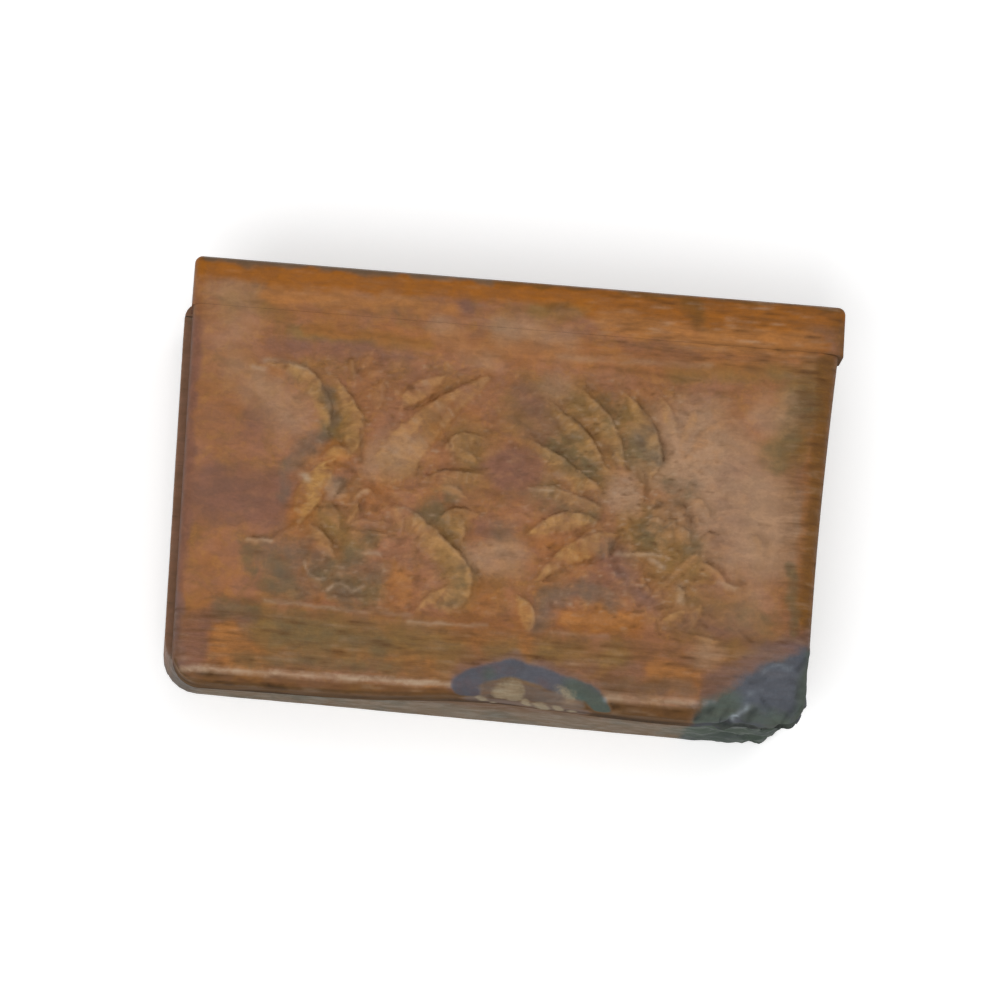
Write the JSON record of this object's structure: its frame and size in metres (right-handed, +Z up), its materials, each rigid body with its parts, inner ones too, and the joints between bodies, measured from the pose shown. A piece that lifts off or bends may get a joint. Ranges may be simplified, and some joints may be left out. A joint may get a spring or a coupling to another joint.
{
  "type": "trinket box",
  "caption": "Low carved wooden trinket box: leaf sprays in a sunken lid field, a rail behind the lid, brass hinges under it and a felt-lined inside.",
  "frame": {"origin": "centre of the bounding box in plan, on the surface the box stands on", "axes": "+X to the right along the lid's length, +Y to the back where the hinges are, +Z up"},
  "size_m": [0.1211, 0.0784, 0.027],
  "materials": {
    "lid_wood": "worn brown lacquer over open grain, with a dull sheen",
    "body_wood": "greyed, matt, slightly rubbed",
    "panel_wood": "plain planed wood",
    "lining_felt": "short-pile felt",
    "hinge_brass": "dulled rolled brass sheet",
    "screw_brass": "turned brass, worn at the slots"
  },
  "bodies": {
    "box": {"front_wall": "body_wood", "back_wall": "body_wood", "left_wall": "body_wood", "right_wall": "body_wood", "bottom_panel": "panel_wood", "base_lining": "lining_felt", "left_hinge_body_leaf": "hinge_brass", "left_hinge_pin": "hinge_brass", "right_hinge_body_leaf": "hinge_brass", "right_hinge_pin": "hinge_brass", "left_body_screw_1": "screw_brass", "left_body_screw_2": "screw_brass", "right_body_screw_1": "screw_brass", "right_body_screw_2": "screw_brass"},
    "lid": {"lid_board": "lid_wood", "back_rail": "lid_wood", "left_hinge_lid_leaf": "hinge_brass", "right_hinge_lid_leaf": "hinge_brass", "left_lid_screw_1": "screw_brass", "left_lid_screw_2": "screw_brass", "right_lid_screw_1": "screw_brass", "right_lid_screw_2": "screw_brass"}
  },
  "joints": [
    {"name": "lid_hinge", "type": "hinge", "parent": "box", "child": "lid", "pos_m": [0, 0.03355, 0.01835], "axis": [-1, 0, 0], "range_deg": [0, 100]}
  ]
}
